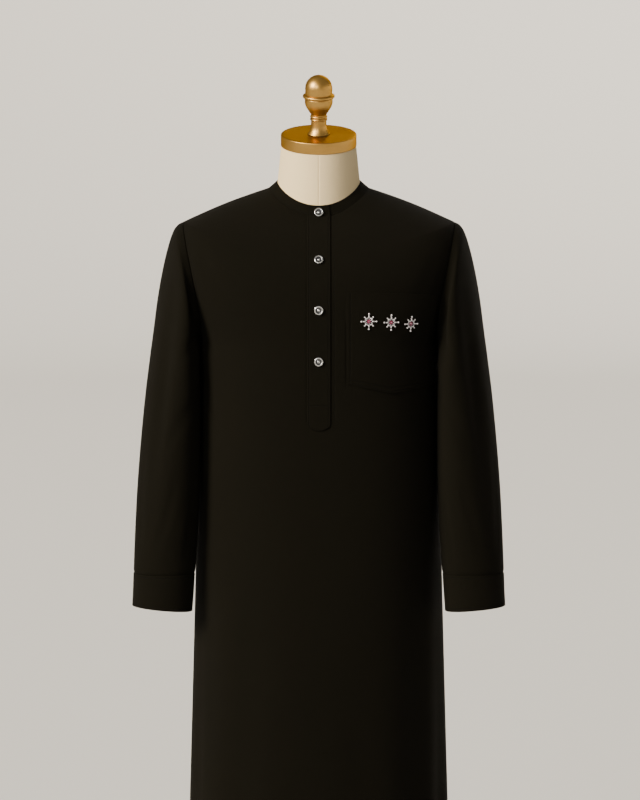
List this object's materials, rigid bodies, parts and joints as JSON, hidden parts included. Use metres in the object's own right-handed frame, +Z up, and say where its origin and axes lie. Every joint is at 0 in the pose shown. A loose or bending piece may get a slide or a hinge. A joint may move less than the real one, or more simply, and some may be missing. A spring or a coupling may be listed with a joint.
{
  "type": "jalabiya on a limbless dress form",
  "caption": "Full-length black jalabiya with a band collar, buttoned placket, long cuffed sleeves and a chest pocket, standing on a limbless dress form.",
  "frame": {"origin": "on the floor under the middle of the part's box, where the pole's axis meets the base's underside", "axes": "+Z up along the pole, -Y towards the garment's front, +X towards the wearer's left, where the pocket is"},
  "size_m": [0.5934, 0.4, 1.7081],
  "materials": {
    "cloth": "matt black plain-woven cloth with a faint warm sheen",
    "button_metal": "bright silver rim with a darker dished middle",
    "form_fabric": "cream cotton jersey, matt",
    "brass": "satin brushed brass",
    "bead": "small pearly silver beads",
    "embroidery": "pink embroidery thread"
  },
  "bodies": {
    "root": {"front": "cloth", "back": "cloth", "sleeve_left": "cloth", "sleeve_right": "cloth", "cuff_left": "cloth", "cuff_right": "cloth", "collar_band": "cloth", "placket": "cloth", "under_placket": "cloth", "pocket": "cloth", "button_1": "button_metal", "button_2": "button_metal", "button_3": "button_metal", "button_4": "button_metal", "form_torso": "form_fabric", "neck_cap": "brass", "finial": "brass", "pole": "brass", "base": "brass"}
  },
  "joints": []
}
